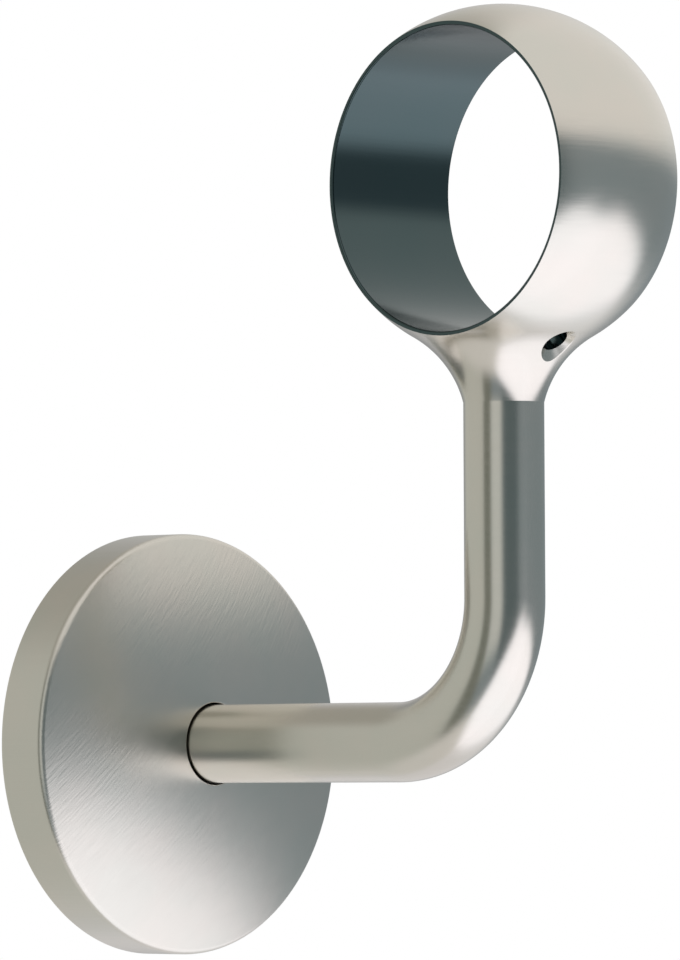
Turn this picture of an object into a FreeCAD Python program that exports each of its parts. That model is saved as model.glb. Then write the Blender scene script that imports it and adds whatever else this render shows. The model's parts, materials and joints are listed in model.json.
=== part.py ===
# Wall bracket for a round handrail, in millimetres.
#
# A ball-shaped ring carries the rail. Its neck runs down into a round bar, which turns
# through a quarter bend and goes back to the wall. A domed rose covers the steel plate
# that is screwed to the wall, and a countersunk screw from behind pulls the arm into it.
#
# Frame: the wall is the plane y = 0 and the room lies at negative y. The rail runs along X
# and Z points up. The origin is where the axis of the arm meets the wall.
import FreeCAD, Part
import math
import os

# Rail and ring
rail_diameter = 54.0
rail_clearance = 0.25
ring_wall = 4.75
ring_width = 31.0
mouth_break = 0.25

# Arm
bar_diameter = 14.5
bend_radius = 25.75
projection = 89.0
rise = 100.0
neck_fillet = 16.5

# Hole for the screw that holds the rail, drilled square to the neck on the room side:
# the angle is between the hole's axis and straight down
rail_screw_hole = 4.8
rail_screw_angle = 41.0
rail_screw_sink = 7.0

# Cover rose
rose_diameter = 78.0
rose_wall = 1.2
rose_rim = 10.0
rose_dome = 6.5
rose_edge_break = 0.6
rose_bar_gap = 0.35

# Wall plate
plate_thickness = 6.0
plate_rose_gap = 0.05
plate_lead_in = 0.8
wall_screw_count = 3
wall_screw_circle = 54.0
wall_screw_hole = 5.5
wall_screw_sink = 10.5

# Key that stops the arm turning on the plate
key_flat_depth = 1.25
key_depth = 1.5
key_gap = 0.1

# Countersunk socket screw from the back of the plate into the arm
screw_diameter = 8.0
screw_head = 15.8
screw_head_land = 0.4
screw_length = 25.0
screw_tip_chamfer = 1.0
screw_socket = 5.0
screw_socket_depth = 2.8
screw_recess = 0.2
screw_seat_gap = 0.03
screw_hole_gap = 0.2
thread_gap = 0.05
tap_runout = 3.0
drill_point_angle = 118.0
sink_angle = 90.0

# Sizes that follow from those above
bore_radius = rail_diameter / 2 + rail_clearance
ball_radius = bore_radius + ring_wall
bar_radius = bar_diameter / 2
rose_radius = rose_diameter / 2
rose_hole_radius = bar_radius + rose_bar_gap
plate_radius = rose_radius - rose_wall - plate_rose_gap
ring_centre = FreeCAD.Vector(0, -projection, rise)
# The neck arc touches the ball and the bar, so its centre lies off both by its radius
neck_out = bar_radius + neck_fillet
neck_drop = math.sqrt((ball_radius + neck_fillet) ** 2 - neck_out ** 2)
arm_end = plate_thickness - key_depth
sink_slope = math.tan(math.radians(sink_angle / 2))

ORIGIN = FreeCAD.Vector(0, 0, 0)
ALONG_RAIL = FreeCAD.Vector(1, 0, 0)
TO_WALL = FreeCAD.Vector(0, 1, 0)
TO_ROOM = FreeCAD.Vector(0, -1, 0)
UP = FreeCAD.Vector(0, 0, 1)
# A cutter runs this far past the face that it opens
OVERRUN = 1.0


def line(start, end):
    """Straight edge between two points."""
    return Part.LineSegment(start, end).toShape()


def arc(start, middle, end):
    """Round edge through three points."""
    return Part.Arc(start, middle, end).toShape()


def face_of(edges):
    """Flat face inside a closed run of edges."""
    return Part.Face(Part.Wire(edges))


def polygon(points):
    """Flat face inside a closed run of points."""
    return Part.Face(Part.makePolygon(points + points[:1]))


def turned(points, axis_point, axis):
    """Solid turned about an axis from a straight-sided half section."""
    return polygon(points).revolve(axis_point, axis, 360)


def countersink(mouth_radius, hole_radius, point, outward, reach):
    """Drill and countersink cutter: the mouth circle is centred on point, the hole goes
    inward by reach, and the cone keeps widening past the mouth by the overrun."""
    sink_depth = (mouth_radius - hole_radius) / sink_slope
    cone = Part.makeCone(hole_radius, mouth_radius + OVERRUN * sink_slope,
                         sink_depth + OVERRUN, point - outward * sink_depth, outward)
    drill = Part.makeCylinder(hole_radius, reach, point - outward * reach, outward)
    return drill.fuse(cone)


def from_ring(out, height):
    """Point on the room side of the ring's centre, out from its upright axis."""
    return ring_centre + FreeCAD.Vector(0, -out, height)


def on_neck(angle):
    """Point of the neck arc where it faces at this angle from straight down."""
    return from_ring(neck_out - neck_fillet * math.sin(angle),
                     neck_fillet * math.cos(angle) - neck_drop)


def neck_and_bar():
    """Concave neck and vertical bar, turned about the ring's upright axis. The neck
    starts where it touches the ball."""
    neck_start = math.atan2(neck_out, neck_drop)
    neck_end = math.pi / 2
    touch = on_neck(neck_start)
    bar_top = on_neck(neck_end)
    bar_foot = from_ring(bar_radius, bend_radius - rise)
    axis_foot = from_ring(0, bend_radius - rise)
    axis_top = from_ring(0, touch.z - ring_centre.z)
    section = face_of([
        arc(touch, on_neck((neck_start + neck_end) / 2), bar_top),
        line(bar_top, bar_foot),
        line(bar_foot, axis_foot),
        line(axis_foot, axis_top),
        line(axis_top, touch),
    ])
    return section.revolve(ring_centre, UP, 360)


def ball_and_neck():
    """Ball on its neck, faced off to the ring's width."""
    ball = Part.makeSphere(ball_radius, ring_centre, ALONG_RAIL)
    width = 4 * ball_radius
    corner = FreeCAD.Vector(-ring_width / 2, -projection - width / 2, 0)
    slab = Part.makeBox(ring_width, width, rise + width, corner)
    return ball.fuse(neck_and_bar()).common(slab)


def bend_and_tail():
    """Quarter bend under the vertical bar and the straight bar back to the wall plate."""
    bend_start = FreeCAD.Vector(0, bend_radius - projection, 0)
    disc = Part.Face(Part.Wire(Part.makeCircle(bar_radius, bend_start, TO_WALL)))
    bend_centre = bend_start + UP * bend_radius
    bend = disc.revolve(bend_centre, ALONG_RAIL, -90)
    tail = Part.makeCylinder(bar_radius, -bend_start.y - arm_end, bend_start, TO_WALL)
    return bend.fuse(tail)


def rail_bore():
    """Cutter for the bore along the rail, with a small break at each mouth."""
    half = ring_width / 2
    broken = bore_radius + mouth_break + OVERRUN
    points = [(-half - OVERRUN, 0), (-half - OVERRUN, broken), (-half + mouth_break, bore_radius),
              (half - mouth_break, bore_radius), (half + OVERRUN, broken), (half + OVERRUN, 0)]
    section = [ring_centre + FreeCAD.Vector(x, 0, radius) for x, radius in points]
    return turned(section, ring_centre, ALONG_RAIL)


def rail_screw_cutter():
    """Countersunk hole from the room side of the neck into the bore."""
    angle = math.radians(rail_screw_angle)
    outward = FreeCAD.Vector(0, -math.sin(angle), -math.cos(angle))
    return countersink(rail_screw_sink / 2, rail_screw_hole / 2, on_neck(angle), outward,
                       bore_radius)


def key_flats():
    """Two cutters that leave flats on the wall end of the arm."""
    across = bar_diameter - 2 * key_flat_depth
    cutters = []
    for side in (-1, 1):
        low_x = across / 2 if side > 0 else -across / 2 - bar_diameter
        corner = FreeCAD.Vector(low_x, -arm_end - key_depth, -bar_diameter)
        cutters.append(Part.makeBox(bar_diameter, key_depth + OVERRUN, 2 * bar_diameter, corner))
    return cutters


def tapped_hole():
    """Blind hole for the plate screw with its drill point; the thread is drawn plain."""
    radius = screw_diameter / 2 + thread_gap
    bottom = screw_recess + screw_length + tap_runout
    point = radius / math.tan(math.radians(drill_point_angle / 2))
    section = [FreeCAD.Vector(r, -y, 0) for r, y in
               [(0, arm_end - OVERRUN), (radius, arm_end - OVERRUN), (radius, bottom),
                (0, bottom + point)]]
    return turned(section, ORIGIN, TO_WALL)


def rail_arm():
    """Ring, neck, bent bar and its fixing end, cast in one."""
    arm = ball_and_neck().fuse(bend_and_tail()).removeSplitter()
    for cutter in [rail_bore(), rail_screw_cutter(), tapped_hole()] + key_flats():
        arm = arm.cut(cutter)
    return arm


def cover_rose():
    """Round cover with a straight rim and a shallow domed face, coned out inside, with a
    hole for the bar. The dome's arc spans from the rim's front corner to the hole, and
    its centre lies on the arm's axis."""
    inside = rose_radius - rose_wall
    chord = rose_radius ** 2 - rose_hole_radius ** 2
    centre_y = rose_rim - (chord - rose_dome ** 2) / (2 * rose_dome)
    dome_radius = math.hypot(rose_radius, rose_rim - centre_y)

    def at(radius, y):
        return FreeCAD.Vector(radius, -y, 0)

    def on_dome(radius):
        return at(radius, centre_y + math.sqrt(dome_radius ** 2 - radius ** 2))

    brow = on_dome(rose_radius - rose_edge_break)
    lip = on_dome(rose_hole_radius)
    section = face_of([
        line(at(rose_radius, 0), at(rose_radius, rose_rim - rose_edge_break)),
        line(at(rose_radius, rose_rim - rose_edge_break), brow),
        arc(brow, on_dome((rose_radius + rose_hole_radius) / 2), lip),
        line(lip, at(rose_hole_radius, -lip.y - rose_wall)),
        line(at(rose_hole_radius, -lip.y - rose_wall), at(inside, rose_rim - rose_wall)),
        line(at(inside, rose_rim - rose_wall), at(inside, 0)),
        line(at(inside, 0), at(rose_radius, 0)),
    ])
    return section.revolve(ORIGIN, TO_WALL, 360)


def around_arm(radius, turn, y):
    """Point at a radius from the arm's axis, turned from straight up, y from the wall."""
    angle = math.radians(turn)
    return FreeCAD.Vector(radius * math.sin(angle), -y, radius * math.cos(angle))


def plate_disc():
    """Round disc with a chamfer that leads the rose over its front edge."""
    section = [FreeCAD.Vector(r, -y, 0) for r, y in
               [(0, 0), (plate_radius, 0), (plate_radius, plate_thickness - plate_lead_in),
                (plate_radius - plate_lead_in, plate_thickness), (0, plate_thickness)]]
    return turned(section, ORIGIN, TO_WALL)


def key_slot():
    """Cutter for the slot that takes the flats of the arm."""
    across = bar_diameter - 2 * key_flat_depth + 2 * key_gap
    depth = key_depth + OVERRUN
    pocket = Part.makeCylinder(bar_radius + key_gap, depth, TO_ROOM * arm_end, TO_ROOM)
    corner = FreeCAD.Vector(-across / 2, -arm_end - depth, -bar_diameter)
    return pocket.common(Part.makeBox(across, depth, 2 * bar_diameter, corner))


def wall_plate():
    """Steel disc on the wall, a push fit in the rose: wall screw holes, key slot and the
    seat of the plate screw."""
    plate = plate_disc()
    for number in range(wall_screw_count):
        turn = 360 * number / wall_screw_count
        front = around_arm(wall_screw_circle / 2, turn, plate_thickness)
        plate = plate.cut(countersink(wall_screw_sink / 2, wall_screw_hole / 2, front,
                                      TO_ROOM, plate_thickness + OVERRUN))
    head_edge = screw_recess + screw_head_land
    seat_radius = screw_head / 2 + screw_seat_gap + head_edge * sink_slope
    seat = countersink(seat_radius, screw_diameter / 2 + screw_hole_gap, ORIGIN,
                       TO_WALL, plate_thickness + OVERRUN)
    return plate.cut(key_slot()).cut(seat)


def plate_screw():
    """Countersunk socket screw, head to the wall; the thread is drawn plain."""
    head = screw_head / 2
    shank = screw_diameter / 2
    top = screw_recess
    cone_top = top + screw_head_land
    cone_end = cone_top + (head - shank) / sink_slope
    tip = top + screw_length
    section = [FreeCAD.Vector(r, -y, 0) for r, y in
               [(0, top), (head, top), (head, cone_top), (shank, cone_end),
                (shank, tip - screw_tip_chamfer), (shank - screw_tip_chamfer, tip), (0, tip)]]
    screw = turned(section, ORIGIN, TO_WALL)
    corner_radius = screw_socket / math.sqrt(3)
    corners = [around_arm(corner_radius, turn, top - OVERRUN) for turn in range(0, 360, 60)]
    socket = polygon(corners).extrude(TO_ROOM * (OVERRUN + screw_socket_depth))
    return screw.cut(socket)


os.makedirs("parts", exist_ok=True)
for name, shape in {
    "rail_arm": rail_arm(),
    "cover_rose": cover_rose(),
    "wall_plate": wall_plate(),
    "plate_screw": plate_screw(),
}.items():
    shape.exportStep(f"parts/{name}.step")
    print(name, "valid", shape.isValid(), "solids", len(shape.Solids),
          "volume", round(shape.Volume, 1))
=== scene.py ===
import json
import math

import bmesh
import bpy
import numpy as np
from mathutils import Matrix, Vector


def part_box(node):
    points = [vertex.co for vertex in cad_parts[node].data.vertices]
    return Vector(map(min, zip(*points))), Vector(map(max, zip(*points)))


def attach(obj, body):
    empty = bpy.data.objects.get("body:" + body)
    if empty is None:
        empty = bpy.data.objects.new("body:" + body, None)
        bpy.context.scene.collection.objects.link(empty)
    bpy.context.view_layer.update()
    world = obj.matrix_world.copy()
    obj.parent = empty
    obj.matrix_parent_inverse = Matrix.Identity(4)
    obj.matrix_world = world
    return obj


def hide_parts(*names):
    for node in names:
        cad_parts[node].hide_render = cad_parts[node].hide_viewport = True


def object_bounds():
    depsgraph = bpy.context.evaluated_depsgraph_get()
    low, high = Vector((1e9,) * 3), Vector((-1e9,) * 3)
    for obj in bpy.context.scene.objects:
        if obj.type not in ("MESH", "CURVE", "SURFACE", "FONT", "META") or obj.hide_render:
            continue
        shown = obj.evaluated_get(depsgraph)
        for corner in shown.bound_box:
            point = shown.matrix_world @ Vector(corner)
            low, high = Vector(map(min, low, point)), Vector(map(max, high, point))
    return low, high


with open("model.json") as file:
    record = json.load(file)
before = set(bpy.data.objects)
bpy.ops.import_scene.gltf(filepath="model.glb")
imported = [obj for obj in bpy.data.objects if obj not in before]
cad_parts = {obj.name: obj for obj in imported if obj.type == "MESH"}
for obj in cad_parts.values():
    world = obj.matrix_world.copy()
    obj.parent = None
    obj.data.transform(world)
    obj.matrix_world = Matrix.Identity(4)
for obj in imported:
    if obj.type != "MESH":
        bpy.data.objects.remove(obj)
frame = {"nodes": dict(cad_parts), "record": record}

# Looks of a wall bracket for a round handrail: a satin nickel arm with a ball-shaped ring,
# and a satin nickel rose. The zinc plated wall plate and its screw keep their solids.
# Metres, in the frame of the solids: the wall is y = 0, the room is at negative y, the
# rail runs along X and Z points up.

cad_low, cad_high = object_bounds()
arm_low, arm_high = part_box("rail_arm")
rose_low, rose_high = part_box("cover_rose")
mounts = {mount["name"]: mount for mount in frame["record"]["mounts"]}
middle = (cad_low + cad_high) / 2

# Ring, arm and rose, from the solids
ring_centre = np.array(mounts["rail_bore"]["pos_m"])
bore_radius = mounts["rail_bore"]["dims"]["r_mm"] / 1000
ring_half = arm_high.x
ball_radius = arm_high.z - ring_centre[2]
bar_radius = -arm_low.z
arm_end = -arm_high.y
rose_radius = rose_high.x
rose_front = -rose_low.y

# Sizes that the frame doesn't give. The neck's arc is wider than the solid's and meets the
# bar at a slight angle, as a faint crease. The mouths and the rose are rounded a little
# more than the solid's broken edges. Where patches meet, points within the weld are one.
neck_fillet = 0.019
neck_crease = math.radians(14)
bend_radius = 0.02575
mouth_round = 0.0004
key_flat_depth = 0.00125
key_depth = 0.0015
tapped_radius = 0.00405
tapped_depth = 0.0237
tapped_point = 0.0024
rose_rim = 0.010
rose_wall = 0.0012
rose_bar_gap = 0.00035
rose_shoulder = 0.0015
rose_lip = 0.0002
weld = 1.5e-7

# Countersunk hole for the rail's screw, and how far its patch in the bore reaches to each
# side of it
rail_way = np.array([1.0, 0.0, 0.0])
screw_mount = mounts["rail_screw"]
screw_outward = np.array(screw_mount["axis"])
screw_up = np.array([0.0, screw_outward[2], -screw_outward[1]])
screw_hole = screw_mount["dims"]["r_mm"] / 1000
screw_mouth = 0.0035
screw_break = 0.00015
screw_patch_half = 0.0052

# Neck arc, which touches the ball and ends in a faint crease on the bar. Its centre is
# neck_out from the ring's upright axis and neck_drop under the ring's centre.
neck_out = bar_radius + neck_fillet * math.cos(neck_crease)
neck_drop = math.sqrt((ball_radius + neck_fillet) ** 2 - neck_out ** 2)
touch_angle = math.atan2(neck_out, neck_drop)
touch_radius = neck_out - neck_fillet * math.sin(touch_angle)
front_arc = math.asin(min(ring_half / touch_radius, 1.0))
bar_top = ring_centre[2] - neck_drop + neck_fillet * math.sin(neck_crease)

# Foot of the screw hole's axis, on the neck
foot_angle = math.atan2(-screw_outward[1], -screw_outward[2])
screw_foot = ring_centre + np.array([0.0, neck_fillet * math.sin(foot_angle) - neck_out,
                                     neck_fillet * math.cos(foot_angle) - neck_drop])

# How finely the skins are divided
AROUND_RING = 240
ACROSS_RING = 96
CUT_STEPS = 10
NECK_ROWS = 48
UPRIGHT_ROWS = 3
BEND_ROWS = 48
BACK_ROWS = 4
ROUND_ROWS = 6
AROUND_ROSE = 360
RIM_ROWS = 4
DOME_ROWS = 40
CONE_ROWS = 8
# The patch round the screw hole, counted in cells of the ring, the neck and the bore. Its
# rims outside and in the bore have as many points.
HOLE_ACROSS = 30
HOLE_RING_ROWS = 3
HOLE_NECK_ROWS = 25
HOLE_BORE_START = 2
HOLE_BORE_ROWS = 16
HOLE_BORE_ACROSS = HOLE_ACROSS + HOLE_RING_ROWS + HOLE_NECK_ROWS - HOLE_BORE_ROWS
HOLE_LOW = (ACROSS_RING - HOLE_ACROSS) // 2
HOLE_HIGH = HOLE_LOW + HOLE_ACROSS
HOLE_SPOKE_ROWS = 14
SPOKE_EASE = 1.3
BORE_SIDE_ROWS = 6
# Rounds of the two searches at the screw hole
DROP_ROUNDS = 12
EDGE_ROUNDS = 25
# The arm's second material, on the bore, the mouths and the drilled hole: nickel darkened as
# painted shade and painted dark reflection
BORE = 1


# --- skins -------------------------------------------------------------------------

def unit(vectors):
    """Vectors brought to length one."""
    length = np.linalg.norm(vectors, axis=-1, keepdims=True)
    return vectors / np.maximum(length, 1e-12)


def stack(x, y, z):
    """Three arrays, spread to one shape, as points."""
    return np.stack(np.broadcast_arrays(x, y, z), axis=-1).astype(float)


def shares(rows):
    """Even steps from 0 to 1, one to a row of a grid."""
    return np.linspace(0, 1, rows + 1)[:, None]


def skin(points, normals, keep=None, finish=0):
    """One patch: a grid of points, the outward normal at each, which cells to keep and
    the number of its finish."""
    return points, normals, keep, finish


def facets(patch):
    """Corners, normals and finish of a patch's cells. The corners run so that the cell,
    whose flat direction is the cross product of its diagonals, faces along its normals."""
    points, normals, keep, finish = patch
    corners, facing = [np.stack([grid[:-1, :-1], grid[1:, :-1], grid[1:, 1:], grid[:-1, 1:]], 2)
                       for grid in (points, normals)]
    flat = np.cross(corners[:, :, 2] - corners[:, :, 0], corners[:, :, 3] - corners[:, :, 1])
    if (flat * facing.mean(2)).sum() < 0:
        corners = corners[:, :, ::-1]
        facing = facing[:, :, ::-1]
    chosen = np.ones(flat.shape[:2], bool) if keep is None else keep
    return corners[chosen], facing[chosen], np.full(chosen.sum(), finish, np.int32)


def closed_piece(name, patches):
    """Mesh of patches whose rims meet point on point. The rims are welded, and every
    corner keeps the normal of its own patch, so round parts shade round and edges stay
    crisp."""
    parts = [facets(patch) for patch in patches]
    corners, facing, finishes = [np.concatenate(column) for column in zip(*parts)]
    count = len(corners)
    mesh = bpy.data.meshes.new(name)
    mesh.vertices.add(4 * count)
    mesh.vertices.foreach_set("co", corners.reshape(-1).astype(np.float32))
    mesh.loops.add(4 * count)
    mesh.loops.foreach_set("vertex_index", np.arange(4 * count, dtype=np.int32))
    mesh.polygons.add(count)
    mesh.polygons.foreach_set("loop_start", np.arange(0, 4 * count, 4, dtype=np.int32))
    mesh.polygons.foreach_set("material_index", finishes)
    facing_layer = mesh.attributes.new("facing", "FLOAT_VECTOR", "CORNER")
    facing_layer.data.foreach_set("vector", facing.reshape(-1).astype(np.float32))
    mesh.update()
    work = bmesh.new()
    work.from_mesh(mesh)
    bmesh.ops.remove_doubles(work, verts=work.verts, dist=weld)
    work.to_mesh(mesh)
    work.free()
    mesh.polygons.foreach_set("use_smooth", np.ones(len(mesh.polygons), bool))
    kept = np.zeros(3 * len(mesh.loops), np.float32)
    mesh.attributes["facing"].data.foreach_get("vector", kept)
    mesh.normals_split_custom_set(kept.reshape(-1, 3))
    mesh.attributes.remove(mesh.attributes["facing"])
    piece = bpy.data.objects.new(name, mesh)
    bpy.context.scene.collection.objects.link(piece)
    return piece


# --- arm ---------------------------------------------------------------------------

def ring_azimuths():
    """Angles round the ring's upright axis of the columns of the neck and the bar, from
    the room side towards +X: the arc in front between the mouths, the right cut, the arc
    behind and the left cut. The cuts are where the mouth faces trim the neck."""
    front = np.linspace(-front_arc, front_arc, ACROSS_RING + 1)
    right = np.linspace(front_arc, math.pi - front_arc, CUT_STEPS + 1)
    return np.concatenate([front[:-1], right[:-1], front[:-1] + math.pi, right + math.pi])


def ring_strip():
    """Outer skin of the ring, from the touch arc in front, over the top, to the one behind:
    ball_radius from the ring's centre, at x across the ring and at an angle round the rail
    counted from straight down towards the room."""
    x = touch_radius * np.sin(np.linspace(-front_arc, front_arc, ACROSS_RING + 1))
    reach = np.sqrt(ball_radius ** 2 - x ** 2)
    start = np.arccos(ball_radius * math.cos(touch_angle) / reach)
    angle = start + (2 * math.pi - 2 * start) * shares(AROUND_RING)
    out = stack(x, -reach * np.sin(angle), -reach * np.cos(angle))
    return ring_centre + out, out / ball_radius


def neck_skin():
    """Concave neck: neck_fillet from an arc centre that is carried round the upright axis.
    Each column starts on the ball or on the face of a mouth and ends on the bar."""
    azimuth = ring_azimuths()
    across = np.abs(np.sin(azimuth))
    start_out = np.minimum(touch_radius, ring_half / np.maximum(across, 1e-9))
    start = np.arcsin((neck_out - start_out) / neck_fillet)
    angle = start + (math.pi / 2 - neck_crease - start) * shares(NECK_ROWS)
    out = neck_out - neck_fillet * np.sin(angle)
    points = ring_centre + stack(out * np.sin(azimuth), -out * np.cos(azimuth),
                                 neck_fillet * np.cos(angle) - neck_drop)
    normals = stack(np.sin(angle) * np.sin(azimuth), -np.sin(angle) * np.cos(azimuth),
                    -np.cos(angle))
    return points, normals


def bar_skin():
    """Round bar: a circle of bar_radius carried down the upright, round the quarter bend
    and back to the wall. The circle's first direction points away from the bend's centre."""
    azimuth = ring_azimuths()
    turn = np.linspace(0, math.pi / 2, BEND_ROWS + 1)
    bar_y = ring_centre[1]
    back_start, key_start = bar_y + bend_radius, -(arm_end + key_depth)
    y = np.concatenate([[bar_y] * UPRIGHT_ROWS, bar_y + bend_radius * (1 - np.cos(turn)),
                        np.linspace(back_start, key_start, BACK_ROWS + 1)[1:]])
    z = np.concatenate([np.linspace(bar_top, bend_radius, UPRIGHT_ROWS + 1)[:-1],
                        bend_radius * (1 - np.sin(turn)), [0.0] * BACK_ROWS])
    lean = np.concatenate([[0.0] * UPRIGHT_ROWS, turn, [math.pi / 2] * BACK_ROWS])[:, None]
    normals = stack(np.sin(azimuth), -np.cos(azimuth) * np.cos(lean),
                    -np.cos(azimuth) * np.sin(lean))
    return stack(0, y[:, None], z[:, None]) + bar_radius * normals, normals


def tail_end():
    """Wall end of the bar: two flats with a step where they start, the end face and the
    tapped hole with its drill point. A flat is the bar's circle with x held to half the
    width across the flats, the hole is a smaller circle, and its point is a cone that
    closes on the bar's axis."""
    azimuth = ring_azimuths()
    zero = 0 * azimuth
    across = bar_radius - key_flat_depth
    x = bar_radius * np.sin(azimuth)
    z = -bar_radius * np.cos(azimuth)
    held = np.clip(x, -across, across)
    hole_x = tapped_radius * np.sin(azimuth)
    hole_z = -tapped_radius * np.cos(azimuth)
    step_y, end_y = -(arm_end + key_depth), -arm_end
    floor_y = end_y - tapped_depth
    step = stack(np.array([x, held]), step_y, np.array([z, z]))
    flats = stack(np.array([held, held]), np.array([[step_y], [end_y]]), np.array([z, z]))
    face = stack(np.array([held, hole_x]), end_y, np.array([z, hole_z]))
    wall = stack(hole_x, np.array([[end_y], [floor_y]]), hole_z)
    point = stack(np.array([hole_x, zero]), np.array([[floor_y], [floor_y - tapped_point]]),
                  np.array([hole_z, zero]))
    outward = stack(np.sin(azimuth), np.zeros((2, 1)), -np.cos(azimuth))
    toward_wall = stack(zero, np.ones((2, 1)), zero)
    cone = unit(toward_wall * tapped_radius - outward * tapped_point)
    return [skin(step, toward_wall), skin(flats, outward), skin(face, toward_wall),
            skin(wall, -outward), skin(point, cone)]


def bore_angles(strip, neck):
    """Angles round the rail of the columns of the bore, counted as on the strip, and the
    ring's outline there: the strip's own rows, then the points where the mouth's face cuts
    the neck."""
    edge = strip[:, -1] - ring_centre
    cut = neck[0, ACROSS_RING:ACROSS_RING + CUT_STEPS + 1][::-1] - ring_centre
    outline = np.concatenate([edge, cut[1:]])
    angle = np.unwrap(np.arctan2(-outline[:, 1], -outline[:, 2]))
    return angle, np.hypot(outline[:, 1], outline[:, 2])


def round_rail(x, radius, angle):
    """Points at a radius and angle round the rail's axis."""
    return ring_centre + stack(x, -radius * np.sin(angle), -radius * np.cos(angle))


def mouth(side, angle, outline):
    """Flat face of a mouth, from the ring's outline in to the edge of the bore, and that
    edge: a quarter circle of mouth_round."""
    inner = bore_radius + mouth_round
    face = round_rail(side * ring_half, np.array([outline, np.full_like(outline, inner)]), angle)
    facing = np.broadcast_to(side * rail_way, face.shape)
    turn = shares(ROUND_ROWS) * math.pi / 2
    edge = round_rail(side * (ring_half - mouth_round * (1 - np.cos(turn))),
                      inner - mouth_round * np.sin(turn), angle)
    rolled = stack(side * np.cos(turn), np.sin(turn) * np.sin(angle),
                   np.sin(turn) * np.cos(angle))
    return [skin(face, facing, finish=BORE), skin(edge, rolled, finish=BORE)]


def bore_skin(angle):
    """Bore: bore_radius round the rail's axis. Its rows across the ring are evenly spaced
    over the patch round the screw hole, with a few on each side of it."""
    end = ring_half - mouth_round
    left = np.linspace(-end, -screw_patch_half, BORE_SIDE_ROWS + 1)
    patch = np.linspace(-screw_patch_half, screw_patch_half, HOLE_BORE_ACROSS + 1)
    right = np.linspace(screw_patch_half, end, BORE_SIDE_ROWS + 1)
    x = np.concatenate([left[:-1], patch, right[1:]])[:, None]
    return round_rail(x, bore_radius, angle), stack(0 * x, np.sin(angle), np.cos(angle))


# --- hole for the rail's screw -----------------------------------------------------

def outer_side(points):
    """How deep each point lies under the skin of the ball or the neck, and the skin's
    normal there. The neck takes over below the line from its arc centre to the ball's."""
    arm = points - ring_centre
    out = np.hypot(arm[..., 0], arm[..., 1])
    round_axis = stack(arm[..., 0] / out, arm[..., 1] / out, 0)
    to_arc = np.stack([neck_out - out, -neck_drop - arm[..., 2]], -1)
    away = unit(to_arc)
    on_neck = out * neck_drop + arm[..., 2] * neck_out < 0
    neck_normal = away[..., :1] * round_axis + away[..., 1:] * np.array([0.0, 0.0, 1.0])
    depth = np.where(on_neck, np.linalg.norm(to_arc, axis=-1) - neck_fillet,
                     ball_radius - np.linalg.norm(arm, axis=-1))
    return depth, np.where(on_neck[..., None], neck_normal, unit(arm))


def in_hole(turn, radius, height):
    """Points at an angle and radius round the screw hole's axis and a height over its
    foot."""
    return (screw_foot + (radius * np.cos(turn))[..., None] * rail_way
            + (radius * np.sin(turn))[..., None] * screw_up
            + (height + 0 * turn)[..., None] * screw_outward)


def drop_on_skin(right, up):
    """Points of the outer skin seen along the screw hole's axis at places right and up of
    it, and the skin's normals there. They are found by steps along the axis, each the depth
    that is left divided by how squarely the axis meets the skin."""
    points = screw_foot + right[..., None] * rail_way + up[..., None] * screw_up
    for _ in range(DROP_ROUNDS):
        depth, normals = outer_side(points)
        points = points + (depth / (normals @ screw_outward))[..., None] * screw_outward
    return points, outer_side(points)[1]


def patch_rim(top, right, bottom, left):
    """Closed run of grid points round a patch, corner by corner."""
    return np.concatenate([top[:-1], right[:-1], bottom[:-1], left])


def outer_rim(strip, neck):
    """Grid points of the ring and the neck round the patch of the screw hole."""
    rows, neck_rows = HOLE_RING_ROWS, HOLE_NECK_ROWS
    right = np.concatenate([strip[rows::-1, HOLE_HIGH], neck[1:neck_rows + 1, HOLE_HIGH]])
    left = np.concatenate([neck[neck_rows::-1, HOLE_LOW], strip[1:rows + 1, HOLE_LOW]])
    return patch_rim(strip[rows, HOLE_LOW:HOLE_HIGH + 1], right,
                     neck[neck_rows, HOLE_LOW:HOLE_HIGH + 1][::-1], left)


def bore_rim(bore):
    """Grid points of the bore round the patch of the drilled hole, in step with the outer
    rim."""
    start, end = BORE_SIDE_ROWS, BORE_SIDE_ROWS + HOLE_BORE_ACROSS
    first, last = HOLE_BORE_START, HOLE_BORE_START + HOLE_BORE_ROWS
    return patch_rim(bore[start:end + 1, last], bore[end, first:last + 1][::-1],
                     bore[start:end + 1, first][::-1], bore[start, first:last + 1])


def countersink_edge(turn):
    """Radius of the countersink's rim at each angle round its axis. The cone opens at 45
    degrees, so the radius is screw_mouth plus the skin's height over the foot there."""
    edge = np.full_like(turn, screw_mouth)
    for _ in range(EDGE_ROUNDS):
        points, _normals = drop_on_skin(edge * np.cos(turn), edge * np.sin(turn))
        edge = screw_mouth + (points - screw_foot) @ screw_outward
    return edge


def outer_spokes(rim, turn, edge):
    """Skin from just outside the countersink to the patch's rim: lines that are straight
    when seen along the hole's axis, dropped on the ball and the neck, closer near the
    hole."""
    start = edge + screw_break
    flat = rim - screw_foot
    share = shares(HOLE_SPOKE_ROWS) ** SPOKE_EASE
    spokes, normals = drop_on_skin(
        (1 - share) * start * np.cos(turn) + share * (flat @ rail_way),
        (1 - share) * start * np.sin(turn) + share * (flat @ screw_up))
    spokes[-1] = rim
    return spokes, normals


def drilled_depth(turn):
    """How far under the foot the drilled wall meets the bore, from the nearer root of the
    quadratic for a line along the hole's axis and the bore's cylinder."""
    start = in_hole(turn, screw_hole, 0.0) - ring_centre
    along = start @ screw_outward
    square = start[:, 1] ** 2 + start[:, 2] ** 2
    return along - np.sqrt(along ** 2 - square + bore_radius ** 2)


def unrolled(points):
    """Places in the bore as x and the angle round the rail."""
    arm = points - ring_centre
    return arm[..., 0], np.arctan2(-arm[..., 1], -arm[..., 2])


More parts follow.
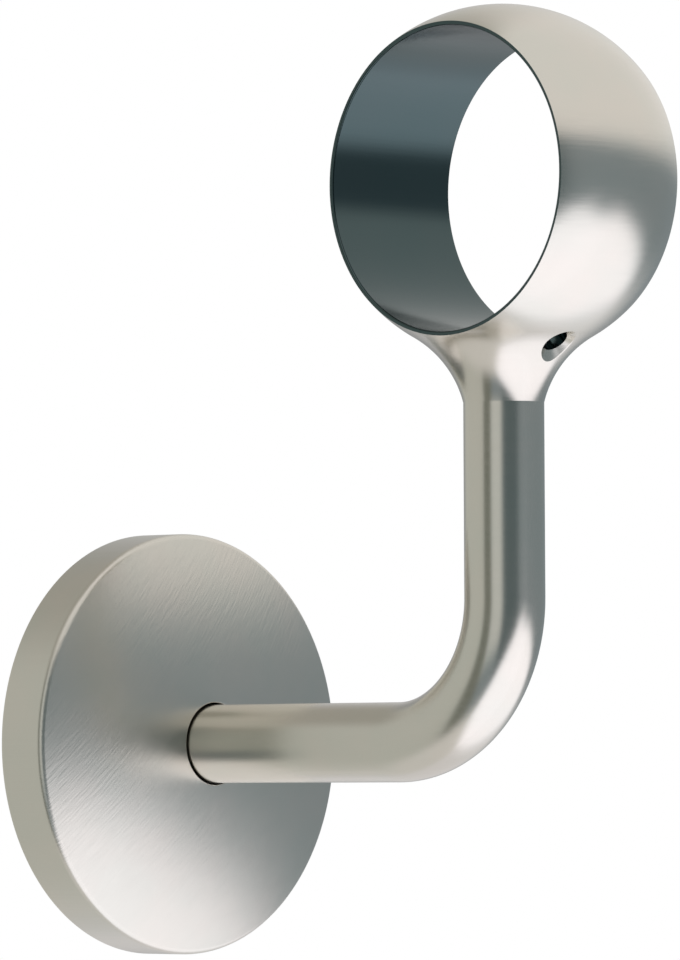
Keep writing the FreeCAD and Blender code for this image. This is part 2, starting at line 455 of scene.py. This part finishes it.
def inner_spokes(near_rim, far_rim):
    """Skin of the bore from the drilled hole's end to the patch's rim: lines that are
    straight when the bore is unrolled."""
    share = shares(HOLE_SPOKE_ROWS)
    x, angle = [(1 - share) * near + share * far
                for near, far in zip(unrolled(near_rim), unrolled(far_rim))]
    spokes = round_rail(x, bore_radius, angle)
    spokes[0], spokes[-1] = near_rim, far_rim
    return spokes, stack(0 * x, np.sin(angle), np.cos(angle))


def screw_hole_skins(strip, neck, bore):
    """Countersunk hole: spokes from the ring's grid to the countersink's rim, a small
    rounded break, the cone, the drilled wall, and spokes from its end to the bore's
    grid. The break is a curve pulled towards the sharp corner that it takes away."""
    rim = outer_rim(strip, neck)
    flat = rim - screw_foot
    turn = np.arctan2(flat @ screw_up, flat @ rail_way)
    edge = countersink_edge(turn)
    lift = edge - screw_mouth
    spokes, spoke_normals = outer_spokes(rim, turn, edge)
    inward = -(np.cos(turn)[:, None] * rail_way + np.sin(turn)[:, None] * screw_up)
    cone_normal = unit(inward + screw_outward)
    cone_break = screw_break * math.sqrt(0.5)
    corner = in_hole(turn, edge, lift)
    cone_top = in_hole(turn, edge - cone_break, lift - cone_break)
    share = shares(ROUND_ROWS)[..., None]
    rolled = ((1 - share) ** 2 * spokes[0] + 2 * share * (1 - share) * corner
              + share ** 2 * cone_top)
    rolled_normal = unit((1 - share) * spoke_normals[0] + share * cone_normal)
    cone_foot = in_hole(turn, screw_hole, screw_hole - screw_mouth)
    drilled_end = in_hole(turn, screw_hole, -drilled_depth(turn))
    inner, inner_normals = inner_spokes(drilled_end, bore_rim(bore))
    return [skin(spokes, spoke_normals), skin(rolled, rolled_normal),
            skin(np.stack([cone_top, cone_foot]), np.stack([cone_normal] * 2)),
            skin(np.stack([cone_foot, drilled_end]), np.stack([inward] * 2), finish=BORE),
            skin(inner, inner_normals, finish=BORE)]


def cells_but(grid, rows, columns):
    """Which cells of a grid of points are kept: all but a block of rows and columns."""
    keep = np.ones((grid.shape[0] - 1, grid.shape[1] - 1), bool)
    keep[rows, columns] = False
    return keep


def arm_piece():
    """The arm: ring strip, neck, bar and wall end, with both mouths, the bore and the
    screw hole. Cells under the screw hole's patches are left out."""
    strip, strip_normals = ring_strip()
    neck, neck_normals = neck_skin()
    angle, outline = bore_angles(strip, neck)
    bore, bore_normals = bore_skin(angle)
    across = slice(HOLE_LOW, HOLE_HIGH)
    keep_strip = cells_but(strip, slice(0, HOLE_RING_ROWS), across)
    keep_neck = cells_but(neck, slice(0, HOLE_NECK_ROWS), across)
    keep_bore = cells_but(bore, slice(BORE_SIDE_ROWS, BORE_SIDE_ROWS + HOLE_BORE_ACROSS),
                          slice(HOLE_BORE_START, HOLE_BORE_START + HOLE_BORE_ROWS))
    patches = [skin(strip, strip_normals, keep_strip), skin(neck, neck_normals, keep_neck),
               skin(*bar_skin()), skin(bore, bore_normals, keep_bore, BORE)]
    for side in (-1.0, 1.0):
        patches += mouth(side, angle, outline)
    return closed_piece("satin_arm", patches + screw_hole_skins(strip, neck, bore) + tail_end())


# --- rose --------------------------------------------------------------------------

def turned(legs):
    """Skins turned about the arm's axis. A leg is a run of radius, distance from the wall
    and the normal's two parts in that plane."""
    spin = np.linspace(0, 2 * math.pi, AROUND_ROSE + 1)
    made = []
    for leg in legs:
        radius, front, normal_out, normal_front = [
            part[:, None] for part in np.broadcast_arrays(*leg)]
        made.append(skin(stack(radius * np.sin(spin), -front, radius * np.cos(spin)),
                         stack(normal_out * np.sin(spin), -normal_front,
                               normal_out * np.cos(spin))))
    return made


def straight(start, end, rows):
    """Leg from one point of the half section to another, with its normal on the right."""
    share = np.linspace(0, 1, rows + 1)
    along = unit(np.subtract(end, start).astype(float))
    return (start[0] + (end[0] - start[0]) * share, start[1] + (end[1] - start[1]) * share,
            along[1], -along[0])


def rounded(centre, radius, start, end, rows):
    """Leg along an arc of the half section, its angles counted from straight out towards
    the room, with its normal away from the centre."""
    angle = np.linspace(start, end, rows + 1)
    return (centre[0] + radius * np.cos(angle), centre[1] + radius * np.sin(angle),
            np.cos(angle), np.sin(angle))


def rose_piece():
    """Cover rose: straight rim, rounded shoulder, shallow dome, rounded lip at the bar,
    coned inside and open back. The dome's centre is far behind the wall, where the rim's
    front edge and the hole's front edge are equally far from it. The shoulder and the lip
    touch the dome from inside."""
    hole = bar_radius + rose_bar_gap
    rise = rose_front - rose_rim
    centre = rose_rim - (rose_radius ** 2 - hole ** 2 - rise ** 2) / (2 * rise)
    dome = math.hypot(rose_radius, rose_rim - centre)
    shoulder_out = rose_radius - rose_shoulder
    shoulder_front = centre + math.sqrt((dome - rose_shoulder) ** 2 - shoulder_out ** 2)
    shoulder_end = math.atan2(shoulder_front - centre, shoulder_out)
    lip_out = hole + rose_lip
    lip_front = centre + math.sqrt((dome - rose_lip) ** 2 - lip_out ** 2)
    lip_start = math.atan2(lip_front - centre, lip_out)
    inside = rose_radius - rose_wall
    return closed_piece("satin_rose", turned([
        straight((rose_radius, 0), (rose_radius, shoulder_front), RIM_ROWS),
        rounded((shoulder_out, shoulder_front), rose_shoulder, 0, shoulder_end, ROUND_ROWS),
        rounded((0, centre), dome, shoulder_end, lip_start, DOME_ROWS),
        rounded((lip_out, lip_front), rose_lip, lip_start, math.pi, ROUND_ROWS),
        straight((hole, lip_front), (hole, rose_front - rose_wall), 1),
        straight((hole, rose_front - rose_wall), (inside, rose_rim - rose_wall), CONE_ROWS),
        straight((inside, rose_rim - rose_wall), (inside, 0), 2),
        straight((inside, 0), (rose_radius, 0), 1),
    ]))


# --- finishes ----------------------------------------------------------------------

def node(tree, kind, **settings):
    """New node with its properties and unlinked inputs set."""
    made = tree.nodes.new(kind)
    for key, value in settings.items():
        if key in made.inputs:
            made.inputs[key].default_value = value
        else:
            setattr(made, key, value)
    return made


def new_material(name):
    """Empty node material, its node tree and its surface shader."""
    material = bpy.data.materials.new(name)
    material.use_nodes = True
    return material, material.node_tree, material.node_tree.nodes["Principled BSDF"]


def brushed(name, colour, roughness, brush, grain, depth):
    """Finely brushed metal. The brush lines are noise, long along the brush's direction
    and short across it, as long and as short as the grain says. They wrinkle the surface
    by the depth and stir its roughness. A slow noise tints the metal a little."""
    stir = 0.02
    cool, warm = (0.98, 0.99, 0.99), (1.02, 1.0, 1.0)
    material, tree, shader = new_material(name)
    link = tree.links.new
    place = node(tree, "ShaderNodeTexCoord")
    lay = node(tree, "ShaderNodeMapping", vector_type="TEXTURE", Rotation=brush, Scale=grain)
    link(place.outputs["Object"], lay.inputs["Vector"])
    lines = node(tree, "ShaderNodeTexNoise", Scale=1.0, Detail=2.0, Roughness=0.6)
    link(lay.outputs["Vector"], lines.inputs["Vector"])
    bump = node(tree, "ShaderNodeBump", Strength=1.0, Distance=depth)
    link(lines.outputs["Fac"], bump.inputs["Height"])
    link(bump.outputs["Normal"], shader.inputs["Normal"])
    rough = node(tree, "ShaderNodeMapRange", **{
        "From Min": 0.3, "From Max": 0.7,
        "To Min": roughness - stir, "To Max": roughness + stir})
    link(lines.outputs["Fac"], rough.inputs["Value"])
    link(rough.outputs["Result"], shader.inputs["Roughness"])
    slow = node(tree, "ShaderNodeTexNoise", Scale=70.0, Detail=2.0)
    link(place.outputs["Object"], slow.inputs["Vector"])
    tint = node(tree, "ShaderNodeValToRGB")
    for stop, position, shade in zip(tint.color_ramp.elements, (0.35, 0.65), (cool, warm)):
        stop.position = position
        stop.color = (*[part * share for part, share in zip(colour, shade)], 1.0)
    link(slow.outputs["Fac"], tint.inputs["Fac"])
    link(tint.outputs["Color"], shader.inputs["Base Color"])
    shader.inputs["Metallic"].default_value = 1.0
    return material


# --- studio ------------------------------------------------------------------------

# Glow of the room between the panels
dim_room = (0.25, 0.295, 0.32)


def toward(azimuth, elevation):
    """Direction from the bracket: azimuth from the room towards +X, elevation up."""
    a, e = math.radians(azimuth), math.radians(elevation)
    return Vector((math.sin(a) * math.cos(e), -math.cos(a) * math.cos(e), math.sin(e)))


def arithmetic(tree, operation, first, second):
    """Sum, product and so on of two sockets or numbers."""
    made = node(tree, "ShaderNodeMath", operation=operation)
    for socket, value in zip(made.inputs, (first, second)):
        if isinstance(value, (int, float)):
            socket.default_value = value
        else:
            tree.links.new(value, socket)
    return made.outputs[0]


def shell_angles(tree):
    """Azimuth and elevation of each point of a shell, seen from its centre."""
    place = node(tree, "ShaderNodeTexCoord")
    direction = node(tree, "ShaderNodeVectorMath", operation="NORMALIZE")
    tree.links.new(place.outputs["Object"], direction.inputs[0])
    part = node(tree, "ShaderNodeSeparateXYZ")
    tree.links.new(direction.outputs["Vector"], part.inputs[0])
    to_room = arithmetic(tree, "MULTIPLY", part.outputs["Y"], -1.0)
    azimuth = arithmetic(tree, "ARCTAN2", part.outputs["X"], to_room)
    return azimuth, arithmetic(tree, "ARCSINE", part.outputs["Z"], 0.0)


def soft_step(tree, value, edge, softness):
    """0 well below the edge and 1 well above it. The value is in radians, and the edge and
    its softness are in degrees."""
    step = node(tree, "ShaderNodeMapRange", interpolation_type="SMOOTHSTEP", **{
        "From Min": math.radians(edge - softness), "From Max": math.radians(edge + softness)})
    tree.links.new(value, step.inputs["Value"])
    return step.outputs["Result"]


def between(tree, value, start, end, softness):
    """1 between two edges of one softness and 0 outside them."""
    before_end = arithmetic(tree, "SUBTRACT", 1.0, soft_step(tree, value, end, softness))
    return arithmetic(tree, "MULTIPLY", soft_step(tree, value, start, softness), before_end)


def panel_share(tree, angles, sides, levels, lean):
    """How much of a panel is seen. Its sides are two azimuths and their softness, its
    levels two elevations and theirs. The level edges rise with azimuth by the lean."""
    azimuth, elevation = angles
    rise = arithmetic(tree, "MULTIPLY", azimuth, lean)
    level = arithmetic(tree, "SUBTRACT", elevation, rise)
    return arithmetic(tree, "MULTIPLY", between(tree, azimuth, *sides),
                      between(tree, level, *levels))


def shell_glow(tree, angles, panels):
    """Glow of a dim room with soft-edged panels. Later panels lie over earlier ones."""
    colour = None
    for sides, levels, lean, glow in panels:
        mix = node(tree, "ShaderNodeMix", data_type="RGBA")
        tree.links.new(panel_share(tree, angles, sides, levels, lean), mix.inputs["Factor"])
        under, over = mix.inputs[6], mix.inputs[7]
        under.default_value = (*dim_room, 1.0)
        over.default_value = (*glow, 1.0)
        if colour:
            tree.links.new(colour, under)
        colour = mix.outputs[2]
    shown = node(tree, "ShaderNodeEmission", Strength=1.0)
    tree.links.new(colour, shown.inputs["Color"])
    return shown.outputs[0]


def studio_shell(name, radius, panels, opening=None):
    """Ball round the bracket that reflections see and the camera doesn't, with the glow of
    its panels. Through the opening, given by its sides, levels and lean, a larger shell
    shows."""
    bpy.ops.mesh.primitive_uv_sphere_add(segments=48, ring_count=24, radius=radius,
                                         location=middle)
    shell = bpy.context.object
    shell.name = name
    material = bpy.data.materials.new(name)
    material.use_nodes = True
    tree = material.node_tree
    tree.nodes.clear()
    angles = shell_angles(tree)
    shown = shell_glow(tree, angles, panels)
    if opening:
        see_through = node(tree, "ShaderNodeMixShader")
        clear = node(tree, "ShaderNodeBsdfTransparent")
        tree.links.new(panel_share(tree, angles, *opening), see_through.inputs[0])
        tree.links.new(shown, see_through.inputs[1])
        tree.links.new(clear.outputs[0], see_through.inputs[2])
        shown = see_through.outputs[0]
    out = node(tree, "ShaderNodeOutputMaterial")
    tree.links.new(shown, out.inputs["Surface"])
    shell.data.materials.append(material)
    shell.visible_camera = False
    shell.visible_diffuse = False
    shell.visible_shadow = False


def lamp(name, azimuth, elevation, distance, size, power):
    """Soft square lamp that faces the bracket."""
    data = bpy.data.lights.new(name, "AREA")
    data.size = size
    data.energy = power
    made = bpy.data.objects.new(name, data)
    bpy.context.scene.collection.objects.link(made)
    direction = toward(azimuth, elevation)
    made.location = middle + direction * distance
    made.rotation_euler = direction.to_track_quat("Z", "Y").to_euler()
    made.visible_camera = False
    made.visible_glossy = False


def white_room():
    """Even pale world: white where the camera looks at it, and a soft grey fill for all
    else."""
    world = bpy.data.worlds.new("pale_room")
    bpy.context.scene.world = world
    world.use_nodes = True
    tree = world.node_tree
    tree.nodes.clear()
    path = node(tree, "ShaderNodeLightPath")
    level = node(tree, "ShaderNodeMapRange", **{"To Min": 0.65, "To Max": 1.0})
    tree.links.new(path.outputs["Is Camera Ray"], level.inputs["Value"])
    glow = node(tree, "ShaderNodeBackground", Color=(1.0, 1.0, 1.0, 1.0))
    tree.links.new(level.outputs["Result"], glow.inputs["Strength"])
    out = node(tree, "ShaderNodeOutputWorld")
    tree.links.new(glow.outputs[0], out.inputs["Surface"])


def pale_floor(level):
    """Large matt floor well under the bracket."""
    bpy.ops.mesh.primitive_plane_add(size=6.0, location=(0, 0, level))
    floor = bpy.context.object
    floor.name = "floor"
    material, _tree, shader = new_material("pale_floor")
    shader.inputs["Base Color"].default_value = (0.8, 0.8, 0.79, 1.0)
    shader.inputs["Roughness"].default_value = 0.9
    floor.data.materials.append(material)
    floor.visible_glossy = False


def swung(first, second, angle):
    """Two directions at right angles, both turned from the first towards the second."""
    turn = math.radians(angle)
    return (first * math.cos(turn) + second * math.sin(turn),
            second * math.cos(turn) - first * math.sin(turn))


def camera():
    """Camera at the viewing angle: turned round a point of the bracket, then swung, tipped
    and rolled a little so that the bracket fills the frame. Angles are in degrees, and the
    sensor and the lens in millimetres."""
    azimuth, elevation, distance = -46.148, -2.248, 1.400586
    swing, tip, roll = 0.403, -0.071, -0.271
    sensor, lens = 36.0, 285.9565
    aim = Vector((0, -0.035, 0.05))
    back = toward(azimuth, elevation)
    forward = -back
    right = forward.cross(Vector((0, 0, 1))).normalized()
    up = right.cross(forward)
    forward, right = swung(forward, right, swing)
    forward, up = swung(forward, up, tip)
    right, up = swung(right, up, roll)
    data = bpy.data.cameras.new("camera")
    data.sensor_width = sensor
    data.lens = lens
    made = bpy.data.objects.new("camera", data)
    bpy.context.scene.collection.objects.link(made)
    axes = Matrix((right, up, -forward)).transposed()
    made.matrix_world = Matrix.Translation(aim + back * distance) @ axes.to_4x4()
    bpy.context.scene.camera = made


# --- assembly ----------------------------------------------------------------------

nickel = (0.66, 0.64, 0.58)
# Dark colour of the bore, the mouths and the drilled hole: painted shade and painted dark
# reflection inside the ring
bore_painted_shade = (0.066, 0.097, 0.099)
zinc = (0.6, 0.61, 0.62)
unturned = (0, 0, 0)
rose_brush = (0, math.radians(-46), 0)

arm = arm_piece()
arm.data.materials.append(brushed(
    "satin_nickel", nickel, roughness=0.22, brush=unturned,
    grain=(0.006, 0.006, 0.0006), depth=0.000006))
# Bore, mouths and drilled hole: nickel darkened to paint the shade and dark reflections inside
# the ring
arm.data.materials.append(brushed(
    "bored_metal_painted_shade", bore_painted_shade, roughness=0.17, brush=unturned,
    grain=(0.02, 0.003, 0.0006), depth=0.000003))
rose = rose_piece()
rose.data.materials.append(brushed(
    "satin_nickel_rose", nickel, roughness=0.3, brush=rose_brush,
    grain=(0.005, 0.1, 0.0005), depth=0.000029))
for piece, solid, slot in ((arm, "rail_arm", "satin_nickel"),
                           (rose, "cover_rose", "satin_nickel_rose")):
    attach(piece, "root")
    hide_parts(solid)
zinc_steel = brushed(
    "zinc_steel", zinc, roughness=0.4, brush=unturned,
    grain=(0.002, 0.002, 0.002), depth=0.00001)
for name in ("wall_plate", "plate_screw"):
    frame["nodes"][name].data.materials.clear()
    frame["nodes"][name].data.materials.append(zinc_steel)

white_room()
pale_floor(cad_low.z - 0.35)
# A panel is its sides, its levels, its lean and its glow
studio_shell("near_studio", 0.7, (
    # left and back walls, and the strip between two dark gaps
    ((-220, -105, 3), (-90, 90, 5), 0, (0.59, 0.60, 0.56)),
    ((-105, -82, 3), (-90, 90, 5), 0, (0.19, 0.20, 0.17)),
    ((-83, -50, 4), (-23, 90, 7), 0, (0.66, 0.68, 0.66)),
    ((116, 166, 12), (-90, 90, 5), 0, (0.34, 0.35, 0.36)),
    ((166, 260, 12), (-90, 90, 5), 0, (0.59, 0.60, 0.56)),
    # dark room behind the camera
    ((-51, -7, 9), (-90, 90, 5), 0, (0.11, 0.145, 0.155)),
    # ceiling, brighter on the right
    ((-220, 220, 1), (32, 150, 9), 0, (0.43, 0.42, 0.38)),
    ((-90, 135, 30), (27, 200, 6), -0.16, (0.90, 0.88, 0.86)),
    # bright table below, dimmer at the back
    ((-220, -50, 20), (-150, -50, 10), 0, (0.76, 0.75, 0.73)),
    ((150, 260, 14), (-150, -40, 10), 0, (0.76, 0.75, 0.73)),
    ((96, 160, 12), (-150, -20, 14), 0, (0.84, 0.83, 0.85)),
    ((-67, 8, 14), (-150, -13.5, 6), 0.6, (1.46, 1.45, 1.56)),
    ((-4, 80, 12), (-150, -13.5, 6), 0, (1.46, 1.45, 1.56)),
), opening=((30, 112, 12), (-90, 8, 8), 0))
# The table further off, seen through the near shell's opening
studio_shell("far_studio", 5.0, (
    ((96, 220, 12), (-150, -20, 14), 0, (0.84, 0.83, 0.85)),
    ((10, 98, 17), (-150, -7, 6), -0.2, (1.41, 1.40, 1.50)),
))
lamp("over_light", azimuth=0, elevation=80, distance=1.2, size=1.2, power=9.0)
camera()

scene = bpy.context.scene
scene.view_settings.view_transform = "Standard"
